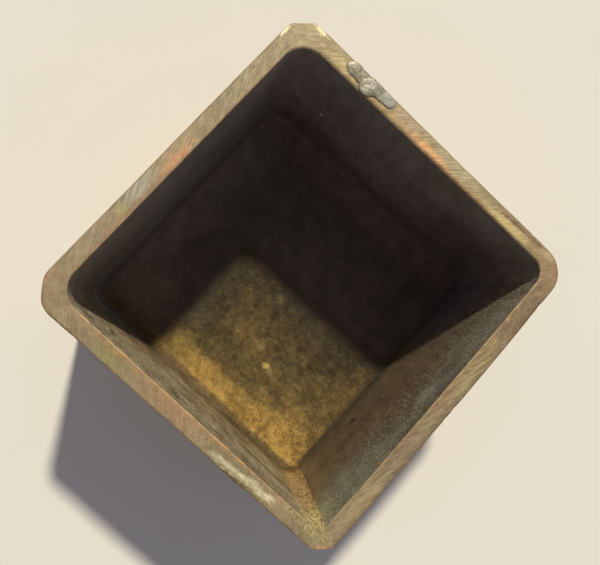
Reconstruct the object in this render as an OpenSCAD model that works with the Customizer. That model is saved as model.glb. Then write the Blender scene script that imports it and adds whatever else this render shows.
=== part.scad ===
// Square open pot of heavy brass plate: four walls butted at the corners, a floor let in between them,
// brazed joints with fillets on the inside, filed outer corners and a soldered repair on the rim.
// Millimetres, +Z up. The origin is on the ground under the middle of the pot.
// The front faces -Y and the right side faces +X.

/* [Body] */
// Width and depth over the outer faces of the walls
body_w = 102; // [80:1:150]
// Height from the ground to the rim
body_h = 76; // [50:1:120]

/* [Plates] */
// Thickness of the front wall
front_t = 5; // [4:0.1:8]
// Thickness of the right wall
right_t = 5.1; // [4:0.1:8]
// Thickness of the back wall
back_t = 4.8; // [4:0.1:8]
// Thickness of the left wall
left_t = 5; // [4:0.1:8]
// Thickness of the floor
floor_t = 5; // [3:0.1:8]
// Height of the floor's underside above the ground
floor_rise = 5; // [3:0.5:15]

/* [Filed outer corners] */
// Radius of the front left corner
round_front_left = 10; // [4:0.5:11]
// Radius of the front right corner
round_front_right = 8; // [4:0.5:11]
// Radius of the back right corner
round_back_right = 8; // [4:0.5:11]
// Radius of the back left corner
round_back_left = 9; // [4:0.5:11]

/* [Brazing] */
// Width of the joint that the filler metal fills between two plates
joint_gap = 0.2; // [0.1:0.05:0.5]
// Angle at which a fillet's surface meets a plate, in degrees
wetting_angle = 12; // [8:1:25]
// Leg of the fillet up the front left corner
fillet_front_left = 5.6; // [2:0.1:8]
// Leg of the fillet up the front right corner
fillet_front_right = 3.3; // [2:0.1:8]
// Leg of the fillet up the back right corner
fillet_back_right = 3.3; // [2:0.1:8]
// Leg of the fillet up the back left corner
fillet_back_left = 5.8; // [2:0.1:8]
// Leg of the fillet round the top of the floor
fillet_floor = 3.5; // [2:0.1:6]
// Leg of the fillet round the underside of the floor
fillet_under = 1.5; // [0.8:0.1:2.5]
// Height above the floor fillet up to which a corner fillet was run with the floor joint
corner_foot = 1; // [0.5:0.1:4]

/* [Rim gouge] */
// Distance from the left face to the middle of the gouge in the front wall's rim
gouge_at = 69.5; // [40:0.5:75]
// Length of the gouge along the rim
gouge_len = 17; // [8:0.5:24]
// Depth of the gouge into the wall
gouge_depth = 1.1; // [0.4:0.1:2]
// Drop of the gouge down the outer face
gouge_drop = 3.5; // [2:0.1:6]

/* [Rim solder] */
// Distance from the left face to the middle of the solder on the back wall's rim
solder_at = 27.5; // [22:0.5:50]
// Length of the solder along the rim
solder_len = 17.5; // [12:0.5:24]
// Height of the highest lobe above the rim
solder_h = 0.95; // [0.5:0.05:1.5]
// Radius of the wide middle lobe
solder_lobe_r = 2.5; // [1.8:0.1:2.6]
// Radius of the narrow lobes along the outer edge
solder_edge_r = 1.65; // [1.2:0.05:2]
// Overhang of the narrow lobes past the outer face
solder_overhang = 0.4; // [0:0.05:0.7]
// Length of the nick under the solder
nick_len = 9; // [5:0.5:12]
// Width of the nick into the rim
nick_w = 2; // [1:0.1:3]
// Depth of the nick down the outer face
nick_drop = 2.2; // [1:0.1:4]

/* [Hidden] */
$fn = 128;

// Outer faces, and the inner faces of the four walls
half_w = body_w / 2;
in_left = -half_w + left_t;
in_right = half_w - right_t;
in_front = -half_w + front_t;
in_back = half_w - back_t;

// Clear inside of the walls, and the top of the floor
inside_x = in_right - in_left;
inside_y = in_back - in_front;
floor_top = floor_rise + floor_t;
corner_start = floor_top + fillet_floor + corner_foot;

// Mitred ends of the floor brazes reach past the largest corner fillet
mitre_margin = 1;
mitre_reach = mitre_margin
  + max(fillet_floor, fillet_front_left, fillet_front_right, fillet_back_right, fillet_back_left);

// Ball that leaves a gouge of the given length, depth and drop in the outer rim edge
gouge_rim_r = (gouge_len * gouge_len / 4 + gouge_depth * gouge_depth) / (2 * gouge_depth);
gouge_rise = (gouge_len * gouge_len / 4 - gouge_drop * gouge_drop) / (2 * gouge_drop);
gouge_ball_r = sqrt(gouge_rim_r * gouge_rim_r + gouge_rise * gouge_rise);

// Lobes of the solder: share of its length from the middle, distance of the lobe's centre inside the
// outer face, radius on the rim, and share of the full height
solder_edge_in = solder_edge_r - solder_overhang;
solder_mid_in = back_t / 2;
solder_end = 0.5 - solder_edge_r / solder_len;
solder_lobes = [
  [-solder_end, solder_edge_in, solder_edge_r, 0.7],
  [-solder_end * 0.78, solder_edge_in, solder_edge_r, 0.85],
  [-solder_end * 0.56, solder_edge_in, solder_edge_r, 0.9],
  [-solder_end * 0.34, solder_mid_in * 0.75, solder_edge_r, 0.85],
  [-solder_end * 0.12, solder_mid_in, solder_lobe_r * 0.85, 0.95],
  [solder_end * 0.12, solder_mid_in, solder_lobe_r, 1],
  [solder_end * 0.4, solder_mid_in * 0.75, solder_edge_r, 0.9],
  [solder_end * 0.6, solder_edge_in, solder_edge_r, 0.85],
  [solder_end * 0.8, solder_edge_in, solder_edge_r, 0.8],
  [solder_end, solder_edge_in, solder_edge_r, 0.65]
];

brass = "#9c8752";
dark_brass = "#6f6038";
floor_brass = "#8f7434";
braze_gold = "#a98d4c";
solder_grey = "#8d8b80";

// Plan of the whole pot with its four filed corners
module outline() {
  polygon([
    [-half_w + round_front_left, -half_w], [half_w - round_front_right, -half_w],
    [half_w, -half_w + round_front_right], [half_w, half_w - round_back_right],
    [half_w - round_back_right, half_w], [-half_w + round_back_left, half_w],
    [-half_w, half_w - round_back_left], [-half_w, -half_w + round_front_left]
  ]);
  translate([-half_w + round_front_left, -half_w + round_front_left]) circle(round_front_left);
  translate([half_w - round_front_right, -half_w + round_front_right]) circle(round_front_right);
  translate([half_w - round_back_right, half_w - round_back_right]) circle(round_back_right);
  translate([-half_w + round_back_left, half_w - round_back_left]) circle(round_back_left);
}

// Upright plate from one corner of its plan, ends rounded by the filed outer corners
module wall_plate(x, y, length_x, length_y) {
  linear_extrude(body_h)
    intersection() {
      outline();
      translate([x, y]) square([length_x, length_y]);
    }
}

// Section of a braze fillet in the corner of two plates that run along +X and +Y
module fillet_section(leg) {
  centre = leg / (1 - tan(wetting_angle));
  radius = norm([centre, centre - leg]);
  difference() {
    square(centre);
    translate([centre, centre]) circle(radius);
  }
}

// Puts its children in an inside corner, turned so that +X and +Y run into the pot
module at_corner(x, y, right, back) {
  translate([x, y])
    mirror([right ? 1 : 0, 0])
      mirror([0, back ? 1 : 0])
        children();
}

// Filler of one upright corner: the film in the butt joint, and the fillet inside with its root in the film
module corner_braze(x, y, right, back, side_t, leg) {
  color(braze_gold) {
    linear_extrude(body_h)
      intersection() {
        outline();
        at_corner(x, y, right, back) translate([-side_t, 0]) square([side_t, joint_gap]);
      }
    translate([0, 0, corner_start])
      linear_extrude(body_h - corner_start)
        at_corner(x, y, right, back) {
          fillet_section(leg);
          translate([-joint_gap, 0]) square([2 * joint_gap, joint_gap]);
        }
  }
}

// Section of a floor joint: fillet on top, film beside the floor, fillet below
module floor_joint_section() {
  translate([0, floor_top]) fillet_section(fillet_floor);
  translate([0, floor_rise]) square([joint_gap, floor_t]);
  translate([0, floor_rise]) mirror([0, 1]) fillet_section(fillet_under);
}

// Filler along one edge of the floor, mitred at both ends, with the foot of each corner fillet
module floor_braze(length, leg_start, leg_end) {
  color(braze_gold)
    intersection() {
      linear_extrude(corner_start)
        polygon([[0, 0], [length, 0], [length - mitre_reach, mitre_reach], [mitre_reach, mitre_reach]]);
      union() {
        rotate([90, 0, 90]) linear_extrude(length) floor_joint_section();
        translate([0, 0, floor_top])
          linear_extrude(corner_start - floor_top) {
            fillet_section(leg_start);
            translate([length, 0]) mirror([1, 0]) fillet_section(leg_end);
          }
      }
    }
}

// Wedge of metal missing from the outer rim edge of the back wall
module nick() {
  translate([-half_w + solder_at - nick_len / 2, half_w, body_h])
    rotate([90, 0, 90])
      linear_extrude(nick_len)
        polygon([[0, 0], [-nick_w, 0], [0, -nick_drop]]);
}

// Cap of a ball that stands on the rim with a given radius and height
module solder_cap(radius, height) {
  ball_r = (radius * radius + height * height) / (2 * height);
  intersection() {
    translate([0, 0, height - ball_r]) sphere(ball_r);
    translate([-radius, -radius, 0]) cube([2 * radius, 2 * radius, height]);
  }
}

module front_wall() {
  color(brass)
    difference() {
      wall_plate(-half_w, -half_w, body_w, front_t);
      translate([-half_w + gouge_at, -half_w - gouge_rim_r + gouge_depth, body_h + gouge_rise])
        sphere(gouge_ball_r);
    }
}

module right_wall() {
  color(brass)
    wall_plate(in_right, in_front + joint_gap, right_t, inside_y - 2 * joint_gap);
}

module back_wall() {
  color(brass)
    difference() {
      wall_plate(-half_w, in_back, body_w, back_t);
      nick();
    }
}

module left_wall() {
  color(dark_brass)
    wall_plate(-half_w, in_front + joint_gap, left_t, inside_y - 2 * joint_gap);
}

module floor_plate() {
  color(floor_brass)
    translate([in_left + joint_gap, in_front + joint_gap, floor_rise])
      cube([inside_x - 2 * joint_gap, inside_y - 2 * joint_gap, floor_t]);
}

module front_left_corner_braze() {
  corner_braze(in_left, in_front, false, false, left_t, fillet_front_left);
}

module front_right_corner_braze() {
  corner_braze(in_right, in_front, true, false, right_t, fillet_front_right);
}

module back_right_corner_braze() {
  corner_braze(in_right, in_back, true, true, right_t, fillet_back_right);
}

module back_left_corner_braze() {
  corner_braze(in_left, in_back, false, true, left_t, fillet_back_left);
}

module front_floor_braze() {
  translate([in_left, in_front])
    floor_braze(inside_x, fillet_front_left, fillet_front_right);
}

module right_floor_braze() {
  translate([in_right, in_front])
    rotate(90)
      floor_braze(inside_y, fillet_front_right, fillet_back_right);
}

module back_floor_braze() {
  translate([in_right, in_back])
    rotate(180)
      floor_braze(inside_x, fillet_back_right, fillet_back_left);
}

module left_floor_braze() {
  translate([in_left, in_back])
    rotate(270)
      floor_braze(inside_y, fillet_back_left, fillet_front_left);
}

module rim_solder_patch() {
  color(solder_grey) {
    nick();
    for (lobe = solder_lobes)
      translate([-half_w + solder_at + lobe[0] * solder_len, half_w - lobe[1], body_h])
        solder_cap(lobe[2], lobe[3] * solder_h);
  }
}

front_wall();
right_wall();
back_wall();
left_wall();
floor_plate();
front_left_corner_braze();
front_right_corner_braze();
back_right_corner_braze();
back_left_corner_braze();
front_floor_braze();
right_floor_braze();
back_floor_braze();
left_floor_braze();
rim_solder_patch();
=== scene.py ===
"""Square brass planter pot: plates brazed at the corners, a let-in floor and a soldered rim repair."""
import math
import random

import bmesh
import bpy
from mathutils import Matrix, Vector, noise


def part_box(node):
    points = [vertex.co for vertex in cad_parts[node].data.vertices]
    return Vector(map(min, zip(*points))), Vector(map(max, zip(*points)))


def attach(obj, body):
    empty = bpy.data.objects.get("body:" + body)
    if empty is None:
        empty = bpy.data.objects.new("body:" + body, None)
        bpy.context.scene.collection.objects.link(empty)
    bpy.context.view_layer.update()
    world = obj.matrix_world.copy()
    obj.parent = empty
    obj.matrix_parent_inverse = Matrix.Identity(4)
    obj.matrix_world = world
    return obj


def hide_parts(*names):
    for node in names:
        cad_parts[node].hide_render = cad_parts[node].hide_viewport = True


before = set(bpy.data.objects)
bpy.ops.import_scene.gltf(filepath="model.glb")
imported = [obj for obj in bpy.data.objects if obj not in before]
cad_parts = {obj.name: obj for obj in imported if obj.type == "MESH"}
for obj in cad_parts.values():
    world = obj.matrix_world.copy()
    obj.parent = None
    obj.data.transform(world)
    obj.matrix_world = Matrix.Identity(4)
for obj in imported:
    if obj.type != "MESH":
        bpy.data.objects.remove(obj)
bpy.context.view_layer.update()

# Meshes are worked in millimetres and scaled to metres when a piece is finished.
MM = 0.001
TOUCH = 1e-5


def box_mm(node):
    lo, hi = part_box(node)
    return lo / MM, hi / MM


FRONT_LO, FRONT_HI = box_mm("front_wall")
RIGHT_LO, RIGHT_HI = box_mm("right_wall")
BACK_LO, BACK_HI = box_mm("back_wall")
LEFT_LO, LEFT_HI = box_mm("left_wall")
FLOOR_LO, FLOOR_HI = box_mm("floor_plate")
SOLDER_LO, SOLDER_HI = box_mm("rim_solder_patch")

RIM = FRONT_HI.z
FLOOR_TOP = FLOOR_HI.z
FLOOR_UNDER = FLOOR_LO.z
OUTSIDE = (LEFT_LO.x, FRONT_LO.y, RIGHT_HI.x, BACK_HI.y)
INSIDE = (LEFT_HI.x, FRONT_HI.y, RIGHT_LO.x, BACK_LO.y)

X_WAY = Vector((1, 0, 0))
Y_WAY = Vector((0, 1, 0))
UP = Vector((0, 0, 1))

# Corners are named by the side of the pot they are on: x first, then y.
FRONT_LEFT = (-1, -1)
FRONT_RIGHT = (1, -1)
BACK_RIGHT = (1, 1)
BACK_LEFT = (-1, 1)
CORNERS = {
    "front_left": FRONT_LEFT,
    "front_right": FRONT_RIGHT,
    "back_right": BACK_RIGHT,
    "back_left": BACK_LEFT,
}
# Each wall: the corners at its start and end, the way along it and the way into the pot.
WALLS = {
    "front": (FRONT_LEFT, FRONT_RIGHT, X_WAY, Y_WAY),
    "right": (FRONT_RIGHT, BACK_RIGHT, Y_WAY, -X_WAY),
    "back": (BACK_RIGHT, BACK_LEFT, -X_WAY, -Y_WAY),
    "left": (BACK_LEFT, FRONT_LEFT, -Y_WAY, X_WAY),
}
OUTER_ROUND = {FRONT_LEFT: 8.0, FRONT_RIGHT: 6.0, BACK_RIGHT: 8.0, BACK_LEFT: 6.0}
# Inside roundings, at the rim and at the floor.
INNER_ROUND = {
    FRONT_LEFT: (6.7, 6.7),
    FRONT_RIGHT: (2.3, 5.0),
    BACK_RIGHT: (4.5, 5.4),
    BACK_LEFT: (7.0, 7.0),
}
ROUND_STEPS = 18

# The pot isn't quite square: how far each plate's faces stand out, at its start, middle and end.
PLATE_SPAN = 46.0
OUTER_STAND = {
    "front": (0.4, 0.48, 0.5),
    "right": (0.35, 0.5, -0.2),
    "back": (0.35, 0.38, 0.37),
    "left": (-0.15, -0.25, -0.35),
}
INNER_STAND = {
    "front": (-0.26, 0.21, 0.68),
    "right": (-0.03, 0.2, -0.25),
    "back": (-0.75, -0.1, 0.5),
    "left": (-0.3, -0.4, -0.5),
}
STAND_FADE = 12.0

# Flats filed on the corners: a point inside, the way the flat faces and how far from the point it is.
FILED_FLATS = (
    (Vector((-39.0, -39.0, 0)), Vector((-0.8, -0.6, 0)), 12.95),
    (Vector((-39.0, 39.0, 0)), Vector((-0.7071, 0.7071, 0)), 13.15),
    (Vector((39.0, -39.0, 0)), Vector((0.7071, -0.7071, 0)), 14.55),
)
# How softly a flat meets the round beside it.
FLAT_EASE = 0.3

OUTER_EDGE = 0.6
# How far the inner rim edge of each plate is rubbed round.
INNER_EDGE = {"front": 0.34, "right": 0.36, "back": 0.8, "left": 0.45}
FOOT_EDGE = 0.5

# Unevenness of each surface: amount, size and seed of every wave.
OUTER_EDGE_WAVES = ((0.35, 7, 3), (0.2, 2.2, 5))
INNER_EDGE_WAVES = ((0.3, 6, 7), (0.4, 1.7, 9))
RIM_WAVES = ((0.07, 19, 1), (0.035, 5, 4))
BORE_WAVES = ((0.14, 17, 13), (0.06, 5.5, 15))
OUTSIDE_WAVES = ((0.1, 24, 17), (0.04, 8, 19))
OUTSIDE_WORN = 0.06
FLOOR_WAVES = ((0.22, 15, 21), (0.1, 5, 23))
FLOOR_PIT = 0.35
TORN_WAVES = ((0.3, 1.1, 35), (0.2, 0.6, 37))
GOUGE_WAVES = ((0.45, 0.9, 33),)
GOUGE_LONG_WAVES = ((0.4, 2.1, 31),)
# How far each kind of wear reaches from its face or edge.
RIM_FADE = 3
FACE_FADE = 3
BORE_START = 4
FLOOR_FADE = 4
KNOCK_DROP = 6
KNOCK_DEPTH = 4

# Knocks along each outer rim edge.
NICK_SEED = 11
NICKS_PER_SIDE = 9
NICK_SPAN = 38
NICK_REACH = (0.6, 1.7)
NICK_DEPTH = (0.05, 0.2)
NICK_FALL = 0.8

GOUGE_FROM = 10.5
GOUGE_TO = 26.5
GOUGE_SINK = 1.2
GOUGE_DROP = 3.5
GOUGE_REACH = 2.1
GOUGE_START_RUN = 2.5
GOUGE_END_RUN = 3.0
BURR = 0.35
BURR_REACH = 1.4
TORN_TO = 31.5
TORN_INSET = 1.3
TORN_REACH = 1.4
NOTCH_AT = 25.0
NOTCH_REACH = 1.8
NOTCH_DEPTH = 0.5
NOTCH_INSET = 1.6

COVE = 3.5
UNDER_COVE = 1.5
COVE_STEPS = 10
COVE_PACE = 1.0
COVE_TURN_STEPS = 7

BEAD_START = math.radians(6)
BEAD_STEPS = 16
BEAD_RINGS = 8
BEAD_PACE = 0.6
BEAD_SINK = 0.3
DIMPLE = 0.16
DIMPLE_SIZE = 1.3
DIMPLE_SEED = 51


def clamp(value, lo=0.0, hi=1.0):
    return max(lo, min(hi, value))


def between(start, end, share):
    return start + (end - start) * share


def smooth_step(lo, hi, value):
    share = clamp((value - lo) / (hi - lo))
    return share * share * (3 - 2 * share)


def wander(p, size, seed):
    """Smooth seeded unevenness, from about -1 to 1."""
    return noise.noise(Vector((p.x / size + seed, p.y / size - 2 * seed, p.z / size + 3 * seed)))


def uneven(p, waves):
    return sum(amount * wander(p, size, seed) for amount, size, seed in waves)


def inner_rounds(level):
    """Inside corner roundings at a height."""
    share = clamp((level - FLOOR_TOP) / (RIM - FLOOR_TOP))
    return {corner: between(low, high, share) for corner, (high, low) in INNER_ROUND.items()}


def edge_gap(p, box, rounds):
    """How far a point lies inside a rounded box in plan, and the way out of it."""
    x0, y0, x1, y1 = box
    side_x = 1 if p.x > (x0 + x1) / 2 else -1
    side_y = 1 if p.y > (y0 + y1) / 2 else -1
    in_x = x1 - p.x if side_x > 0 else p.x - x0
    in_y = y1 - p.y if side_y > 0 else p.y - y0
    radius = rounds[(side_x, side_y)]
    if in_x < radius and in_y < radius:
        far_x = radius - in_x
        far_y = radius - in_y
        reach = math.hypot(far_x, far_y)
        return radius - reach, Vector((side_x * far_x / reach, side_y * far_y / reach, 0))
    if in_x < in_y:
        return in_x, Vector((side_x, 0, 0))
    return in_y, Vector((0, side_y, 0))


def bore_gap(p):
    return edge_gap(p, INSIDE, inner_rounds(p.z))


def stand_at(stands, along):
    """A face's stand at a place along its plate, on a curve through its start, middle and end."""
    start, middle, end = stands
    share = clamp(along / PLATE_SPAN, -1.1, 1.1)
    return middle + (end - start) / 2 * share + ((start + end) / 2 - middle) * share * share


def plate_stand(side, along, from_inner, thickness):
    """How far out a point of a plate stands; from_inner is its depth behind the inner face."""
    depth = clamp(from_inner / thickness)
    fade = clamp(1 + from_inner / STAND_FADE)
    return fade * between(stand_at(INNER_STAND[side], along), stand_at(OUTER_STAND[side], along), depth)


def plan_move(p):
    """The move that makes the plates as uneven as they are."""
    x0, y0, x1, y1 = INSIDE
    front = plate_stand("front", p.x, y0 - p.y, y0 - OUTSIDE[1])
    back = plate_stand("back", p.x, p.y - y1, OUTSIDE[3] - y1)
    left = plate_stand("left", p.y, x0 - p.x, x0 - OUTSIDE[0])
    right = plate_stand("right", p.y, p.x - x1, OUTSIDE[2] - x1)
    return Vector((right - left, back - front, 0))


def rolled_edge(way, depth, drop, radius, up):
    """The move that rolls a square edge over, at a depth behind its face and a drop from its end."""
    u = radius - max(depth, 0)
    v = radius - max(drop, 0)
    if u <= 0 or v <= 0:
        return Vector()
    ease = 1 - max(u, v) / math.hypot(u, v)
    return -way * (u * ease) - UP * (up * v * ease)


def rim_nicks():
    """Small knocks along the outer rim edges: place, reach, depth and the way they push."""
    draw = random.Random(NICK_SEED)
    x0, y0, x1, y1 = OUTSIDE
    nicks = []
    for edge, turned in ((y0, False), (x1, True), (y1, False), (x0, True)):
        for _ in range(NICKS_PER_SIDE):
            spot = Vector((draw.uniform(-NICK_SPAN, NICK_SPAN), edge, RIM))
            reach = draw.uniform(*NICK_REACH)
            depth = draw.uniform(*NICK_DEPTH)
            way = (Vector((0, -edge, 0)).normalized() - UP * NICK_FALL).normalized()
            if turned:
                spot.xy = spot.yx
                way.xy = way.yx
            nicks.append((spot, reach, depth, way))
    return nicks


NICKS = rim_nicks()


def ends_rough(along):
    """How rough the metal is along the gouge; the roughness runs on a little past it."""
    start = smooth_step(GOUGE_FROM - 0.5, GOUGE_FROM + 2, along)
    return start * (1 - smooth_step(TORN_TO - 2.5, TORN_TO, along))


def soft_excess(value, ease):
    """The part of a value over nought, eased in so that a flat meets the round beside it softly."""
    if value < -ease:
        return 0.0
    if value > ease:
        return value
    return (value + ease) ** 2 / (4 * ease)


def gouge_move(p, depth_out, drop):
    """The torn stretch of the front rim edge: beaten down, burred outwards, with a notch at its end."""
    if p.y > OUTSIDE[1] + GOUGE_REACH + 2 or drop > GOUGE_DROP + 1:
        return Vector()
    ends = smooth_step(GOUGE_FROM, GOUGE_FROM + GOUGE_START_RUN, p.x)
    ends *= 1 - smooth_step(GOUGE_TO - GOUGE_END_RUN, GOUGE_TO, p.x)
    ragged = 1 + uneven(X_WAY * p.x, GOUGE_LONG_WAVES) + uneven(p, GOUGE_WAVES)
    fall = clamp(1 - drop / GOUGE_DROP)
    sink = GOUGE_SINK * ends * ragged * clamp(1 - depth_out / GOUGE_REACH) * fall
    burr = BURR * ends * ragged * clamp(1 - depth_out / BURR_REACH) * fall
    notch = NOTCH_DEPTH * clamp(1 - abs(p.x - NOTCH_AT) / NOTCH_REACH)
    notch *= clamp(1 - depth_out / NOTCH_INSET) * fall
    torn = ends_rough(p.x) * clamp(1 - abs(depth_out - TORN_INSET) / TORN_REACH) * fall
    return Vector((0, notch - burr, torn * uneven(p, TORN_WAVES) - sink))


def inner_edge_at(way):
    """Rounding of the inner rim edge where the plate faces this way."""
    side = INNER_EDGE["right"] if way.x > 0 else INNER_EDGE["left"]
    front_back = INNER_EDGE["back"] if way.y > 0 else INNER_EDGE["front"]
    return side * way.x ** 2 + front_back * way.y ** 2


def worn(p):
    """Where a point of the plain pot ends up after wear. All brass pieces use it, so joints stay closed."""
    bore, out_of_bore = bore_gap(p)
    depth_out, outward = edge_gap(p, OUTSIDE, OUTER_ROUND)
    depth_in = -bore
    drop = RIM - p.z
    moved = p + plan_move(p)
    if depth_in > -0.5:
        outer_edge = OUTER_EDGE * (1 + uneven(p, OUTER_EDGE_WAVES))
        inner_edge = inner_edge_at(out_of_bore) * (1 + uneven(p, INNER_EDGE_WAVES))
        moved += rolled_edge(outward, depth_out, drop, outer_edge, 1)
        moved += rolled_edge(-out_of_bore, depth_in, drop, inner_edge, 1)
        moved += rolled_edge(outward, depth_out, p.z, FOOT_EDGE, -1)
        moved += rolled_edge(-out_of_bore, depth_in, p.z, FOOT_EDGE, -1)
        moved.z += uneven(p, RIM_WAVES) * clamp(1 - drop / RIM_FADE)
    inner_share = clamp(1 - abs(depth_in) / FACE_FADE)
    outer_share = clamp(1 - abs(depth_out) / FACE_FADE)
    moved += out_of_bore * inner_share * clamp(drop / BORE_START) * uneven(p, BORE_WAVES)
    moved += outward * outer_share * (uneven(p, OUTSIDE_WAVES) - OUTSIDE_WORN)
    if drop < KNOCK_DROP and depth_out < KNOCK_DEPTH:
        moved += gouge_move(p, depth_out, drop)
        for spot, reach, depth, way in NICKS:
            gap = (p - spot).length
            if gap < reach:
                moved += way * depth * (1 - (gap / reach) ** 2) ** 2
    for inside, way, reach in FILED_FLATS:
        moved -= way * soft_excess((moved - inside).dot(way) - reach, FLAT_EASE)
    near_floor = clamp(1 - abs(p.z - FLOOR_TOP) / FLOOR_FADE)
    if bore > -1 and near_floor > 0:
        moved.z += near_floor * floor_unevenness(p)
    return moved


def floor_unevenness(p):
    flat = Vector((p.x, p.y, 0))
    pit = smooth_step(0.32, 0.62, wander(flat, 2.6, 25)) * smooth_step(-0.1, 0.4, wander(flat, 17, 27))
    return uneven(flat, FLOOR_WAVES) - FLOOR_PIT * pit


def every(bm):
    return [*bm.verts, *bm.edges, *bm.faces]


def of_kind(parts, kind):
    return [part for part in parts if isinstance(part, kind)]


def spin(bm, geom, centre, axis, angle, steps):
    ways = {"cent": centre, "axis": axis, "angle": angle, "steps": steps}
    return bmesh.ops.spin(bm, geom=geom, use_duplicate=False, **ways)


def cut_away(bm, axis, place, way):
    """Cuts off what lies past a plane and closes the cut."""
    point = Vector()
    point[axis] = place
    normal = Vector()
    normal[axis] = way
    cut = bmesh.ops.bisect_plane(
        bm, geom=every(bm), dist=TOUCH, plane_co=point, plane_no=normal, clear_outer=True
    )
    edges = of_kind(cut["geom_cut"], bmesh.types.BMEdge)
    if edges:
        bmesh.ops.holes_fill(bm, edges=edges, sides=0)


def slice_at(bm, axis, places):
    """Puts lines of vertices across a block, so that wear can move them."""
    normal = Vector()
    normal[axis] = 1
    for place in places:
        bmesh.ops.bisect_plane(bm, geom=every(bm), dist=TOUCH, plane_co=normal * place, plane_no=normal)


def run_of(start, end, pace):
    count = max(1, round((end - start) / pace))
    return [between(start, end, step / count) for step in range(1, count)]


def corner_of(box, corner):
    return Vector((box[2] if corner[0] > 0 else box[0], box[3] if corner[1] > 0 else box[1], 0))


def outer_block():
    """The pot's outer prism, with a rounding of its own on each upright edge."""
    x0, y0, x1, y1 = OUTSIDE
    bm = bmesh.new()
    place = Matrix.Translation(((x0 + x1) / 2, (y0 + y1) / 2, RIM / 2))
    bmesh.ops.create_cube(bm, size=1.0, matrix=place @ Matrix.Diagonal((x1 - x0, y1 - y0, RIM, 1)))
    for corner, radius in OUTER_ROUND.items():
        foot = corner_of(OUTSIDE, corner).xy
        upright = [edge for edge in bm.edges if all((v.co.xy - foot).length < TOUCH for v in edge.verts)]
        shape = {"segments": ROUND_STEPS, "profile": 0.5, "affect": "EDGES", "material": -1}
        bmesh.ops.bevel(bm, geom=upright, offset=radius, offset_type="OFFSET", **shape)
    return bm


def block_between(lo, hi):
    """The part of the outer prism between two corners."""
    bm = outer_block()
    for axis in range(3):
        cut_away(bm, axis, lo[axis], -1)
        cut_away(bm, axis, hi[axis], 1)
    return bm


# Distances of the slices from an edge, and down from the rim.
NEAR_EDGE = (0.1, 0.22, 0.38, 0.6, 0.95)
RIM_DROPS = (*NEAR_EDGE, 1.4, 2.0, 2.8, 3.8, 5.0, 6.5, 8.5, 11.0)
FOOT_LEVELS = [1.5, 0.95, 0.5, 0.22]
LEVEL_PACE = 2.6
ACROSS_PACE = 0.55
PLATE_PACE = 0.9
END_PACE = 0.45
END_RUN = 11.0
CLOSE_PACE = 0.4


def wall_levels():
    levels = [RIM - drop for drop in RIM_DROPS]
    return levels + run_of(FOOT_LEVELS[0], RIM - RIM_DROPS[-1], LEVEL_PACE) + FOOT_LEVELS


def across_plate(lo, hi):
    places = [lo + gap for gap in NEAR_EDGE]
    places += [hi - gap for gap in NEAR_EDGE]
    return places + run_of(lo + NEAR_EDGE[-1], hi - NEAR_EDGE[-1], ACROSS_PACE)


def wall_plate(lo, hi, long_axis, close_run=None):
    """One plate of the wall, sliced for its wear; close_run is a stretch that needs finer slices."""
    bm = block_between(lo, hi)
    start, end = lo[long_axis], hi[long_axis]
    places = run_of(start, start + END_RUN, END_PACE)
    places += run_of(start + END_RUN, end - END_RUN, PLATE_PACE)
    places += run_of(end - END_RUN, end, END_PACE)
    if close_run:
        places += run_of(*close_run, CLOSE_PACE)
    slice_at(bm, long_axis, places)
    slice_at(bm, 1 - long_axis, across_plate(lo[1 - long_axis], hi[1 - long_axis]))
    slice_at(bm, 2, wall_levels())
    return bm


def bead_centre(corner, radius):
    return corner_of(INSIDE, corner) - Vector((corner[0] * radius, corner[1] * radius, 0))


def corner_bead(corner):
    """The fillet of filler metal run down an inside corner, wider or narrower towards the floor."""
    radius = INNER_ROUND[corner][0]
    centre = bead_centre(corner, radius)
    turn = corner[0] * corner[1]
    bm = bmesh.new()
    first = Matrix.Rotation(turn * BEAD_START, 3, "Z") @ Vector((corner[0] * radius, 0, 0))
    spin(bm, [bm.verts.new(centre + first)], centre, UP, turn * (math.pi / 2 - 2 * BEAD_START), BEAD_STEPS)
    behind = bmesh.ops.extrude_edge_only(bm, edges=bm.edges[:])
    for vert in of_kind(behind["geom"], bmesh.types.BMVert):
        way = (vert.co - centre).normalized()
        vert.co = centre + way * radius / max(abs(way.x), abs(way.y))
    spokes = []
    for edge in bm.edges:
        near, far = (vert.co - centre for vert in edge.verts)
        if abs(near.cross(far).z) < TOUCH:
            spokes.append(edge)
    bmesh.ops.subdivide_edges(bm, edges=spokes, cuts=BEAD_RINGS, use_grid_fill=True)
    bmesh.ops.translate(bm, verts=bm.verts[:], vec=(0, 0, FLOOR_TOP - BEAD_SINK))
    raised = bmesh.ops.extrude_face_region(bm, geom=bm.faces[:])
    top = of_kind(raised["geom"], bmesh.types.BMVert)
    bmesh.ops.translate(bm, verts=top, vec=(0, 0, RIM - FLOOR_TOP + BEAD_SINK))
    bmesh.ops.recalc_face_normals(bm, faces=bm.faces[:])
    levels = [RIM - drop for drop in NEAR_EDGE]
    levels += run_of(FLOOR_TOP - BEAD_SINK, RIM - NEAR_EDGE[-1], BEAD_PACE)
    slice_at(bm, 2, levels)
    root = corner_of(INSIDE, corner)
    for vert in bm.verts:
        widening = inner_rounds(vert.co.z)[corner] / radius
        vert.co.x = root.x + (vert.co.x - root.x) * widening
        vert.co.y = root.y + (vert.co.y - root.y) * widening
    return bm


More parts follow.
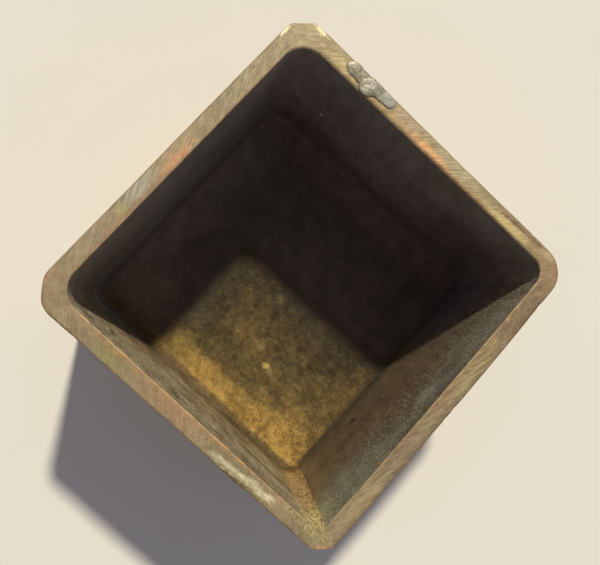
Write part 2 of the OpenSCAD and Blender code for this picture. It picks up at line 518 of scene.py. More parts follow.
def dimple_bead(bm, corner):
    """Sinks small hollows in the face of a bead, away from its edges."""
    root = corner_of(INSIDE, corner)
    for vert in bm.verts:
        gap, out_of_bore = bore_gap(vert.co)
        off = vert.co - root
        across = abs(corner[0] * off.x - corner[1] * off.y)
        inner = clamp(1.6 - 1.8 * across / inner_rounds(vert.co.z)[corner])
        if abs(gap) < 0.2:
            vert.co += out_of_bore * DIMPLE * inner * wander(vert.co, DIMPLE_SIZE, DIMPLE_SEED)


def joint_film(corner):
    """The thin sheet of filler metal between the end of a side plate and the plate it butts on."""
    side = (RIGHT_LO, RIGHT_HI) if corner[0] > 0 else (LEFT_LO, LEFT_HI)
    if corner[1] < 0:
        y0, y1 = FRONT_HI.y, side[0].y
    else:
        y0, y1 = side[1].y, BACK_LO.y
    x0 = INSIDE[2] if corner[0] > 0 else OUTSIDE[0]
    x1 = OUTSIDE[2] if corner[0] > 0 else INSIDE[0]
    bm = block_between((x0, y0, 0), (x1, y1, RIM))
    slice_at(bm, 0, across_plate(x0, x1))
    slice_at(bm, 2, wall_levels())
    return bm


def gather(bm, other):
    """Adds one bmesh to another."""
    mesh = bpy.data.meshes.new("gathering")
    other.to_mesh(mesh)
    other.free()
    bm.from_mesh(mesh)
    bpy.data.meshes.remove(mesh)


def cove_run(wall, leg, level, up):
    """Filler metal along one wall and half round its corners; up is 1 above the floor and -1 under it."""
    start, end, along, inward = wall
    start_round = INNER_ROUND[start][1]
    end_round = INNER_ROUND[end][1]
    start_centre = bead_centre(start, start_round)
    end_centre = bead_centre(end, end_round)
    origin = start_centre - inward * start_round
    length = (end_centre - inward * end_round - origin).dot(along)
    bm = bmesh.new()
    foot = bm.verts.new(origin + inward * leg + UP * level)
    turn = math.pi / 2 * up
    if inward.cross(UP).dot(along) > 0:
        turn = -turn
    spun = spin(bm, [foot], origin + inward * leg + UP * (level + up * leg), along, turn, COVE_STEPS)
    root = bm.verts.new(origin + UP * level)
    bm.edges.new((spun["geom_last"][0], root))
    bm.edges.new((root, foot))
    ring = bm.edges[:]
    spin(bm, [*bm.verts, *ring], start_centre, UP, -math.pi / 4, COVE_TURN_STEPS)
    count = round(length / COVE_PACE)
    for _ in range(count):
        pushed = bmesh.ops.extrude_edge_only(bm, edges=ring)["geom"]
        ring = of_kind(pushed, bmesh.types.BMEdge)
        verts = of_kind(pushed, bmesh.types.BMVert)
        bmesh.ops.translate(bm, verts=verts, vec=along * length / count)
    spin(bm, [*verts, *ring], end_centre, UP, math.pi / 4, COVE_TURN_STEPS)
    open_edges = [edge for edge in bm.edges if len(edge.link_faces) == 1]
    bmesh.ops.holes_fill(bm, edges=open_edges, sides=0)
    bmesh.ops.recalc_face_normals(bm, faces=bm.faces[:])
    return bm


def floor_braze(wall):
    bm = cove_run(wall, COVE, FLOOR_TOP, 1)
    gather(bm, cove_run(wall, UNDER_COVE, FLOOR_UNDER, -1))
    return bm


def floor_slab():
    bm = block_between(FLOOR_LO, FLOOR_HI)
    for axis in (0, 1):
        slice_at(bm, axis, run_of(FLOOR_LO[axis], FLOOR_HI[axis], PLATE_PACE))
    return bm


# Lobes of the solder: distance along it from its middle, distance in from the outer face, half length,
# half width and height over the rim.
SOLDER_LOBES = (
    (-6.2, 1.55, 2.9, 2.0, 1.1),
    (-3.6, 1.75, 2.8, 2.0, 1.05),
    (-0.6, 2.35, 3.0, 2.75, 1.25),
    (1.2, 1.55, 3.6, 2.0, 1.2),
    (3.8, 1.5, 2.8, 1.8, 1.0),
    (5.9, 1.45, 2.4, 1.7, 1.0),
)
SOLDER_VOXEL = 0.16
SOLDER_FLOW_STEPS = 5
SOLDER_TOP = 0.55
SOLDER_RELIEF = 0.04


def solder_creases(p):
    return clamp(1 - 6 * abs(wander(p, 3.2, 43))) + 0.5 * clamp(1 - 6 * abs(wander(p, 1.7, 47)))


def solder_blob():
    """Lobes of solder run together over the rim and down into the nick."""
    middle = (SOLDER_LO.x + SOLDER_HI.x) / 2
    lobes = bmesh.new()
    for along, inset, half_length, half_width, height in SOLDER_LOBES:
        place = Matrix.Translation((middle + along, OUTSIDE[3] - inset, RIM))
        shape = Matrix.Diagonal((half_length, half_width, height, 1))
        bmesh.ops.create_icosphere(lobes, subdivisions=4, radius=1.0, matrix=place @ shape)
    mesh = bpy.data.meshes.new("solder_lobes")
    lobes.to_mesh(mesh)
    lobes.free()
    lump = bpy.data.objects.new("solder_lobes", mesh)
    bpy.context.scene.collection.objects.link(lump)
    fuse = lump.modifiers.new("fuse", "REMESH")
    fuse.mode = "VOXEL"
    fuse.voxel_size = SOLDER_VOXEL
    flow = lump.modifiers.new("flow", "SMOOTH")
    flow.factor = 0.5
    flow.iterations = SOLDER_FLOW_STEPS
    fused = lump.evaluated_get(bpy.context.evaluated_depsgraph_get())
    bm = bmesh.new()
    bm.from_mesh(fused.data)
    bpy.data.objects.remove(lump)
    for vert in bm.verts:
        p = vert.co
        top = SOLDER_TOP * (1 + 0.3 * wander(p, 3.0, 45))
        over = max(p.z - RIM, 0.0)
        flat = Vector((p.x, p.y, min(p.z, RIM) + top * math.tanh(over / top)))
        vert.co = flat + vert.normal * SOLDER_RELIEF * (wander(p, 1.5, 41) - solder_creases(p))
    return bm


def note_depths(bm):
    """Keeps how deep each point lies behind the faces of the plain pot, for the finishes to read."""
    inside = bm.verts.layers.float.new("from_inside")
    outside = bm.verts.layers.float.new("from_outside")
    drop = bm.verts.layers.float.new("below_rim")
    for vert in bm.verts:
        vert[inside] = max(0.0, -bore_gap(vert.co)[0])
        vert[outside] = max(0.0, edge_gap(vert.co, OUTSIDE, OUTER_ROUND)[0])
        vert[drop] = max(0.0, RIM - vert.co.z)


SHARP = math.radians(38)


def finish_piece(name, bm, node, material, wear=True):
    if wear:
        note_depths(bm)
        for vert in bm.verts:
            vert.co = worn(vert.co)
    bmesh.ops.recalc_face_normals(bm, faces=bm.faces[:])
    for face in bm.faces:
        face.smooth = True
    for edge in bm.edges:
        if len(edge.link_faces) == 2:
            edge.smooth = edge.calc_face_angle(0.0) < SHARP
    mesh = bpy.data.meshes.new(name)
    bm.to_mesh(mesh)
    bm.free()
    mesh.transform(Matrix.Scale(MM, 4))
    mesh.materials.append(material)
    piece = bpy.data.objects.new(name, mesh)
    bpy.context.scene.collection.objects.link(piece)
    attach(piece, "root")
    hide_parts(node)
    return piece


def tone(red, green, blue):
    """A colour written as it looks on screen, 0 to 255."""
    def linear(level):
        share = level / 255
        return share / 12.92 if share <= 0.04045 else ((share + 0.055) / 1.055) ** 2.4
    return (linear(red), linear(green), linear(blue), 1.0)


class Coat:
    """A finish being laid: its nodes and the place on the metal, in millimetres."""

    def __init__(self, tree, place=None, shader=None):
        self.tree = tree
        self.place = place
        self.shader = shader

    def join(self, value, socket):
        """Links a socket to another, or gives it a value."""
        if isinstance(value, bpy.types.NodeSocket):
            self.tree.links.new(value, socket)
        else:
            socket.default_value = value

    def put(self, kind, inputs=None, **settings):
        """Adds a node; inputs are values or sockets by name or number."""
        node = self.tree.nodes.new(kind)
        for name, value in settings.items():
            setattr(node, name, value)
        for name, value in (inputs or {}).items():
            self.join(value, node.inputs[name])
        return node

    def give(self, name, value):
        self.join(value, self.shader.inputs[name])

    def maths(self, operation, a, b=0.0):
        return self.put("ShaderNodeMath", {0: a, 1: b}, operation=operation).outputs[0]

    def times(self, a, b):
        return self.maths("MULTIPLY", a, b)

    def plus(self, a, b):
        return self.maths("ADD", a, b)

    def minus(self, a, b):
        return self.maths("SUBTRACT", a, b)

    def most(self, a, b):
        return self.maths("MAXIMUM", a, b)

    def swing(self, mask, reach):
        """A mask as a swing to either side of nought."""
        return self.times(self.minus(mask, 0.5), reach)

    def vectors(self, operation, a, b):
        return self.put("ShaderNodeVectorMath", {0: a, 1: b}, operation=operation).outputs[0]

    def spread(self, value, low, high, out_low=0.0, out_high=1.0):
        inputs = {"Value": value, "From Min": low, "From Max": high, "To Min": out_low, "To Max": out_high}
        return self.put("ShaderNodeMapRange", inputs, interpolation_type="SMOOTHSTEP").outputs["Result"]

    def mix(self, share, under, over):
        return self.put("ShaderNodeMix", {0: share, 2: under, 3: over}, data_type="FLOAT").outputs[0]

    def blend(self, share, under, over, mode="MIX"):
        inputs = {0: share, 6: under, 7: over}
        return self.put("ShaderNodeMix", inputs, data_type="RGBA", blend_type=mode).outputs[2]

    def tint(self, mask, amount, colour, over):
        """Lays a tone over a colour where a mask shows it."""
        return self.blend(self.times(mask, amount), colour, over)

    def grain(self, share, colour, mask):
        """Lightens and darkens a colour by a mask."""
        return self.blend(share, colour, mask, "SOFT_LIGHT")

    def axes(self):
        return self.put("ShaderNodeSeparateXYZ", {0: self.place}).outputs

    def height(self):
        return self.axes()[2]

    def turned(self, angle):
        """The place turned about the upright."""
        inputs = {"Vector": self.place, "Angle": angle}
        return self.put("ShaderNodeVectorRotate", inputs, rotation_type="Z_AXIS").outputs[0]

    def noise(self, scale, detail, roughness=0.5, place=None):
        inputs = {"Vector": place or self.place, "Scale": scale, "Detail": detail, "Roughness": roughness}
        return self.put("ShaderNodeTexNoise", inputs).outputs[0]

    def drawn_out(self, along, up, low, high):
        """Fine marks drawn out along a wall, so many millimetres long and high."""
        stretched = self.vectors("MULTIPLY", self.place, (1 / along, 1 / along, 1 / up))
        return self.spread(self.noise(1.0, 5.0, 0.6, stretched), low, high)

    def use(self, group, place=None, **inputs):
        """The mask of a shared effect."""
        inputs["Place"] = place or self.place
        return self.put("ShaderNodeGroup", inputs, node_tree=group).outputs["Mask"]

    def mottle(self, size, detail, softness, place=None):
        return self.use(MOTTLE, place, Size=size, Detail=detail, Softness=softness)

    def pits(self, size, amount, place=None):
        return self.use(PITS, place, Size=size, Amount=amount)

    def marks(self, group, angle, width, length, place=None):
        """File strokes or scratches at one angle."""
        return self.use(group, place, Angle=angle, Width=width, Length=length)

    def stain(self, centre, reach, raggedness=0.6, fineness=0.6):
        return self.use(STAIN, Centre=centre, Reach=reach, Raggedness=raggedness, Fineness=fineness)

    def stained(self, colour, stains, raggedness=0.6, fineness=0.6):
        """Lays ragged stains over a colour: centre, reach, tone and strength."""
        for centre, reach, shade, amount in stains:
            colour = self.tint(self.stain(centre, reach, raggedness, fineness), amount, colour, shade)
        return colour

    def scored(self, colour, lines):
        """Scores lines into a colour: start, end, width, raggedness, tone and strength."""
        for start, end, width, raggedness, shade, amount in lines:
            run = Vector(end) - Vector(start)
            line = {"Start": start, "Way": run.normalized()[:], "Length": run.length}
            mark = self.use(SCORED, Width=width, Raggedness=raggedness, **line)
            colour = self.tint(mark, amount, colour, shade)
        return colour

    def depth_mask(self, name, near, far):
        """1 up to a depth behind a face of the pot, fading to 0 at another."""
        kept = self.put("ShaderNodeAttribute", attribute_name=name)
        return self.spread(kept.outputs["Fac"], near, far, 1.0, 0.0)

    def edge_line(self, face, width):
        """A line along a rim edge: behind an inner or outer face and just under the rim."""
        behind = self.depth_mask(face, width * 0.3, width)
        under = self.depth_mask("below_rim", width * 0.5, width * 1.4)
        return self.times(behind, under)

    def bump(self, height, strength, distance):
        node = self.put("ShaderNodeBump", {"Height": height, "Strength": strength, "Distance": distance})
        self.give("Normal", node.outputs[0])

    def metal_surface(self, bare, rough, height, strength, distance):
        """Bare metal where the mask says so, dull patina elsewhere."""
        self.give("Metallic", self.spread(bare, 0.0, 1.0, 0.1, 0.4))
        self.give("Roughness", rough)
        self.give("Specular IOR Level", 0.3)
        self.bump(height, strength, distance)

    def dull_surface(self, rough, height, strength, distance):
        """Patina with next to no bare metal."""
        self.give("Metallic", 0.08)
        self.give("Roughness", rough)
        self.give("Specular IOR Level", 0.2)
        self.bump(height, strength, distance)


def new_group(name, **inputs):
    """An empty shared effect that gives a mask; inputs are the first values of its sockets."""
    tree = bpy.data.node_groups.new(name, "ShaderNodeTree")
    for socket_name, value in {"Place": (0.0, 0.0, 0.0), **inputs}.items():
        kind = "NodeSocketFloat" if isinstance(value, float) else "NodeSocketVector"
        tree.interface.new_socket(socket_name, in_out="INPUT", socket_type=kind).default_value = value
    tree.interface.new_socket("Mask", in_out="OUTPUT", socket_type="NodeSocketFloat")
    given = tree.nodes.new("NodeGroupInput").outputs
    return Coat(tree, given["Place"]), given


def close_group(coat, mask):
    coat.join(mask, coat.put("NodeGroupOutput").inputs["Mask"])
    return coat.tree


def mottle_group():
    """Cloudy patches of two tones."""
    coat, given = new_group("mottle", Size=5.0, Detail=6.0, Softness=0.12)
    cloud = coat.noise(coat.maths("DIVIDE", 1.0, given["Size"]), given["Detail"], 0.62)
    low = coat.minus(0.5, given["Softness"])
    return close_group(coat, coat.spread(cloud, low, coat.plus(0.5, given["Softness"])))


def along_marks(coat, given, thin):
    """The place drawn out along the marks; thin ones are as fine in height as in width."""
    along = coat.maths("DIVIDE", 1.0, given["Length"])
    across = coat.maths("DIVIDE", 1.0, given["Width"])
    scale = coat.put("ShaderNodeCombineXYZ", {0: along, 1: across, 2: across if thin else along})
    return coat.vectors("MULTIPLY", coat.turned(given["Angle"]), scale.outputs[0])


def strokes_group():
    """Marks of a file drawn across the metal at one angle."""
    coat, given = new_group("file_strokes", Angle=0.0, Width=0.3, Length=9.0)
    lines = coat.noise(1.0, 3.0, 0.6, along_marks(coat, given, False))
    return close_group(coat, coat.spread(lines, 0.3, 0.7))


def scratches_group():
    """Sparse thin scratches at one angle."""
    coat, given = new_group("scratches", Angle=0.0, Width=1.2, Length=30.0)
    field = coat.noise(1.0, 1.0, 0.5, along_marks(coat, given, True))
    line = coat.spread(coat.maths("ABSOLUTE", coat.minus(field, 0.5)), 0.03, 0.008)
    return close_group(coat, coat.times(line, coat.spread(coat.noise(0.11, 2.0), 0.48, 0.6)))


def pits_group():
    """Small round pits, gathered in places."""
    coat, given = new_group("pits", Size=1.2, Amount=0.5)
    scale = coat.maths("DIVIDE", 1.0, given["Size"])
    cells = coat.put("ShaderNodeTexVoronoi", {"Vector": coat.place, "Scale": scale, "Randomness": 1.0})
    dot = coat.spread(cells.outputs["Distance"], 0.38, 0.16)
    fewest = coat.minus(1.0, given["Amount"])
    gate = coat.spread(coat.noise(0.35, 3.0), fewest, coat.plus(fewest, 0.12))
    return close_group(coat, coat.times(dot, gate))


def length_of(coat, vector):
    return coat.put("ShaderNodeVectorMath", {0: vector}, operation="LENGTH").outputs["Value"]


def stain_group():
    """One ragged stain with a soft border, at a place on the metal."""
    coat, given = new_group(
        "stain", Centre=(0.0, 0.0, 0.0), Reach=(5.0, 5.0, 5.0), Raggedness=0.6, Fineness=0.6
    )
    off = coat.vectors("DIVIDE", coat.vectors("SUBTRACT", coat.place, given["Centre"]), given["Reach"])
    ragged = coat.swing(coat.noise(given["Fineness"], 5.0, 0.65), given["Raggedness"])
    wide = coat.plus(length_of(coat, off), coat.times(ragged, 2.0))
    return close_group(coat, coat.spread(wide, 1.3, 0.35))


def scored_group():
    """One scored line with a ragged border, from a start along a way."""
    coat, given = new_group(
        "scored_line", Start=(0.0, 0.0, 0.0), Way=(1.0, 0.0, 0.0), Length=5.0, Width=0.3, Raggedness=0.3
    )
    off = coat.vectors("SUBTRACT", coat.place, given["Start"])
    along = coat.put("ShaderNodeVectorMath", {0: off, 1: given["Way"]}, operation="DOT_PRODUCT")
    far = coat.maths("MINIMUM", coat.most(along.outputs["Value"], 0.0), given["Length"])
    nearest = coat.put("ShaderNodeVectorMath", {0: given["Way"], "Scale": far}, operation="SCALE")
    gap = length_of(coat, coat.vectors("SUBTRACT", off, nearest.outputs[0]))
    ragged = coat.swing(coat.noise(1.1, 4.0, 0.65), given["Raggedness"])
    share = coat.maths("DIVIDE", coat.plus(gap, ragged), given["Width"])
    return close_group(coat, coat.spread(share, 1.0, 0.35))


MOTTLE = mottle_group()
STROKES = strokes_group()
SCRATCHES = scratches_group()
PITS = pits_group()
STAIN = stain_group()
SCORED = scored_group()


def new_finish(name):
    """An empty material, and the coat to lay on it."""
    material = bpy.data.materials.new(name)
    material.use_nodes = True
    tree = material.node_tree
    tree.nodes.clear()
    shader = tree.nodes.new("ShaderNodeBsdfPrincipled")
    output = tree.nodes.new("ShaderNodeOutputMaterial")
    tree.links.new(shader.outputs[0], output.inputs["Surface"])
    coat = Coat(tree, shader=shader)
    where = coat.put("ShaderNodeTexCoord").outputs["Object"]
    inputs = {"Vector": where, "Scale": (1 / MM, 1 / MM, 1 / MM)}
    coat.place = coat.put("ShaderNodeMapping", inputs).outputs[0]
    return material, coat


RIM_DULL = tone(136, 120, 89)
RIM_BRIGHT = tone(153, 136, 103)
PALE_BRASS = tone(178, 164, 128)
GREY_STROKE = tone(176, 172, 156)
COPPER = tone(186, 134, 94)
YELLOW_BRASS = tone(188, 166, 108)
DARK_BROWN = tone(84, 66, 46)
BURNISHED_HIGHLIGHT = tone(206, 156, 104)
GOLDEN = tone(182, 144, 72)
GOLDEN_BROWN = tone(150, 118, 62)
OLIVE_FLOOR = tone(67, 54, 29)
BROWN_FLOOR = tone(100, 75, 41)
# Painted shade: the floor's colour where the sun's shadow falls.
PAINTED_FLOOR_SHADE = tone(78, 66, 59)

# How far a stain reaches down into the metal.
RIM_SOAK = 4.0
FLOOR_SOAK = 8.0


def stains_at(level, soak, rows):
    """Stains at one height, from rows of centre x and y, reach x and y, tone and strength."""
    stains = []
    for x, y, reach_x, reach_y, shade, amount in rows:
        stains.append(((x, y, level), (reach_x, reach_y, soak), tone(*shade), amount))
    return stains


def on_rim(*rows):
    return stains_at(RIM, RIM_SOAK, rows)


def on_floor(*rows):
    return stains_at(FLOOR_TOP, FLOOR_SOAK, rows)


# Stains of the rim, by side and by corner. A corner's stains go on both of its plates and its bead.
RIM_STAINS = {
    "left": on_rim(
        (-48.5, -31, 3, 10, (152, 132, 108), 0.5),
        (-48.3, -19.8, 1.9, 2.3, (172, 163, 102), 0.6),
        (-49, -13, 2.4, 6, (150, 144, 124), 0.6),
        (-47.4, -1, 1.8, 7, (180, 136, 100), 0.4),
        (-49.3, 2, 1.6, 7, (152, 140, 106), 0.5),
        (-48, 15, 3, 8, (136, 120, 94), 0.65),
        (-50.1, 22, 1.2, 7, (126, 117, 94), 0.7),
        (-48.8, 26, 3, 7, (138, 126, 98), 0.55),
        (-48.4, 38, 3.6, 9, (132, 118, 90), 0.65),
        (-46.5, -20, 0.5, 24, (154, 106, 80), 0.45),
        (-48.5, 5, 3, 40, (132, 116, 88), 0.25),
    ),
    "front": on_rim(
        (-37, -48.5, 8, 3.2, (156, 134, 104), 0.5),
        (-25, -48.4, 6.5, 2.8, (136, 124, 78), 0.7),
        (-24, -49.6, 5, 1.2, (140, 132, 84), 0.4),
        (-4, -48.8, 11, 3.2, (160, 126, 92), 0.65),
        (11, -48, 6, 2.4, (142, 126, 90), 0.6),
        (34, -48.2, 5, 3, (160, 134, 98), 0.5),
        (17, -51, 8, 0.9, (112, 92, 60), 0.75),
        (19, -47.6, 8, 1, (118, 112, 92), 0.55),
        (-5, -46.9, 40, 1, (172, 128, 82), 0.4),
        (41, -47.4, 6, 1.8, (154, 140, 92), 0.5),
    ),
    "right": on_rim(
        (48.5, -34, 3, 8, (160, 138, 94), 0.5),
        (48.5, -14, 3, 9, (140, 120, 92), 0.6),
        (48.3, 1, 2.4, 5, (148, 117, 88), 0.5),
        (48.5, 14, 3, 7, (150, 132, 98), 0.5),
        (48.3, 32, 3.2, 13, (128, 105, 78), 0.7),
        (50.5, -8, 0.9, 40, (112, 94, 72), 0.55),
        (46.8, -5, 1.3, 44, (126, 100, 70), 0.5),
    ),
    "back": on_rim(
        (-34, 48, 6, 3, (158, 144, 100), 0.5),
        (-10, 49.2, 5, 2, (158, 136, 112), 0.6),
        (-1, 47.8, 9, 1.5, (176, 142, 102), 0.3),
        (9, 49.2, 7, 2.2, (160, 148, 116), 0.6),
        (12, 46.9, 9, 0.9, (130, 104, 74), 0.55),
        (31, 48.2, 12, 1.4, (172, 152, 104), 0.5),
        (34, 50.6, 14, 0.9, (134, 110, 80), 0.75),
        (-5, 47.3, 40, 1.1, (166, 132, 84), 0.4),
    ),
}
CORNER_STAINS = {
    FRONT_LEFT: on_rim(
        (-48.3, -44.5, 3.6, 5, (156, 132, 102), 0.5),
        (-50.2, -46.5, 1.2, 5, (178, 132, 100), 0.5),
        (-47, -50.2, 3, 1, (168, 126, 94), 0.4),
    ),
    FRONT_RIGHT: on_rim(
        (46, -47.5, 5, 3, (158, 142, 92), 0.6),
        (46.9, -51, 1.5, 0.5, (226, 158, 112), 0.85),
        (48.2, -50.2, 0.9, 0.7, (226, 158, 112), 0.85),
        (49.4, -49.1, 0.8, 0.8, (222, 150, 104), 0.85),
        (50.5, -47.6, 0.6, 1, (206, 144, 100), 0.6),
    ),
    BACK_RIGHT: on_rim(
        (47, 46.5, 5, 6, (146, 117, 86), 0.65),
        (49.6, 48.6, 2, 3, (140, 108, 76), 0.5),
    ),
    BACK_LEFT: on_rim(
        (-47, 47, 5, 5, (152, 138, 104), 0.5),
        # Bright worn edge of the filed back left flat, partly a painted highlight.
        (-50.3, 44, 0.9, 2.2, (240, 222, 176), 0.75),
        (-44.9, 44.7, 2.5, 2.5, (138, 124, 94), 0.5),
    ),
}
RIM_FLECKS = {
    "left": on_rim((-47.2, -1, 1.2, 6, (198, 144, 100), 0.5)),
    "front": on_rim(
        # Pale flecks on the torn metal of the gouge, partly painted glints.
        (18.1, -49.9, 3, 1, (222, 208, 166), 0.6),
        (23.9, -48.4, 2.6, 0.9, (214, 198, 156), 0.55),
        (-35.8, -48.6, 4, 2, (126, 108, 78), 0.5),
    ),
    "right": on_rim(
        (47.2, 28.8, 1.2, 3, (120, 100, 72), 0.45),
        (46.6, 29.4, 0.4, 1, (214, 180, 116), 0.5),
        (46.4, 12.8, 1.2, 4, (116, 97, 70), 0.55),
        (47.8, 21.3, 1.4, 2.6, (176, 153, 108), 0.5),
        (47.1, 41, 1.4, 3, (112, 92, 66), 0.6),
        (49.8, 34, 1.4, 7, (104, 84, 62), 0.5),
        (48.6, 18, 1.6, 5, (118, 98, 72), 0.45),
        (47.8, -22, 1.4, 6, (122, 104, 78), 0.4),
    ),
    "back": on_rim(
        (-1, 47.6, 8, 1.2, (206, 152, 98), 0.7),
        (31, 48.2, 10, 1.2, (194, 172, 112), 0.65),
        (14, 46.7, 22, 0.5, (112, 84, 58), 0.6),
        (40, 47.6, 4, 1, (128, 98, 66), 0.5),
        # Bright worn edge at the back left corner, partly a painted highlight.
        (-43.4, 50.9, 2.2, 0.9, (240, 222, 172), 0.75),
        (-6.6, 48.1, 3, 1.4, (148, 122, 88), 0.5),
        (43.1, 50.1, 3, 1.2, (198, 172, 128), 0.5),
    ),
}
RIM_STROKES = {
    "left": [
        ((-49.2, -13, RIM), (2.2, 6.5, RIM_SOAK), 1.08, GREY_STROKE, 0.6),
        ((-48.3, -34.5, RIM), (2, 4, RIM_SOAK), 1.3, PALE_BRASS, 0.5),
        ((-48.4, 1, RIM), (2.4, 6, RIM_SOAK), 1.3, tone(196, 150, 110), 0.4),
    ],
    "front": [
        ((-8, -48.6, RIM), (14, 3, RIM_SOAK), 0.9, PALE_BRASS, 0.16),
    ],
    "right": [
        ((48.5, -30, RIM), (3.2, 12, RIM_SOAK), 1.9, PALE_BRASS, 0.42),
        ((48.5, 12, RIM), (3.2, 12, RIM_SOAK), 1.8, YELLOW_BRASS, 0.45),
        ((48.5, 30, RIM), (3.2, 12, RIM_SOAK), 1.4, tone(102, 84, 62), 0.45),
    ],
    "back": [
        ((6, 48.6, RIM), (12, 3, RIM_SOAK), 2.4, PALE_BRASS, 0.2),
    ],
}
RIM_LINES = {"back": [((26, 49.75, RIM), (40, 50.3, RIM), 0.42, 1.1, tone(98, 72, 52), 0.7)]}
FLUX_STAINS = on_rim(
    (-29, 49.6, 4, 2, (112, 94, 68), 0.5),
    (-23, 47.6, 3, 1.4, (96, 80, 58), 0.55),
    (-17, 50, 3, 1.6, (142, 141, 130), 0.6),
)
# Painted fill light: patches that lighten the floor's painted shade by the walls and in the front left
# corner.
PAINTED_SHADE_PATCHES = on_floor(
    (-36, -34, 13, 13, (122, 107, 86), 0.7),
    (-34, 43, 16, 7, (108, 94, 87), 0.7),
    (10, 9, 30, 8, (88, 76, 66), 0.7),
    (0, 42, 54, 7, (108, 87, 79), 0.8),
)
FLOOR_STAINS = on_floor(
    (3, -20.5, 9, 3.4, (118, 92, 50), 0.6),
    (28, -27, 6, 4, (110, 92, 52), 0.5),
    (14, -33.5, 16, 2.6, (116, 96, 54), 0.45),
    (4, -43, 8, 2, (206, 168, 92), 0.6),
    (20, -43.4, 3, 1.6, (140, 106, 52), 0.5),
    (-13, -39, 6, 7, (116, 97, 48), 0.6),
    (34.2, -30.8, 4, 3.4, (168, 134, 72), 0.6),
    (-14, -27, 5, 6, (76, 66, 40), 0.6),
    (2, -29, 10, 3, (74, 64, 36), 0.5),
    (22, -20, 7, 4, (74, 66, 42), 0.5),
    (28.7, -27.9, 3, 2.6, (158, 130, 72), 0.45),
    (20.6, -32.7, 3, 2.4, (154, 128, 70), 0.55),
    (18.5, -24.2, 2.6, 2.4, (140, 116, 66), 0.5),
    (43.8, -34, 1.8, 4, (86, 66, 36), 0.6),
    (30.5, -36.1, 3.2, 1.8, (128, 103, 52), 0.55),
)
FLOOR_SPOTS = on_floor(
    (2.3, -4.2, 2, 1.8, (104, 94, 56), 0.6),
    (31.8, -14.9, 1.8, 1.7, (120, 106, 62), 0.5),
    (8.3, -21, 1.4, 1.4, (150, 122, 70), 0.6),
    (14.4, -24.6, 1.5, 1.25, (198, 168, 94), 0.9),
    (17.2, -25.2, 2, 1.5, (140, 122, 72), 0.65),
    (-8.7, -33.3, 0.9, 0.9, (48, 38, 24), 0.8),
    (27, -22.4, 1.2, 1.1, (128, 114, 66), 0.5),
    (21.5, -13.5, 1.1, 1.3, (118, 104, 62), 0.5),
    (-3, -13, 1.3, 1, (116, 104, 60), 0.5),
)

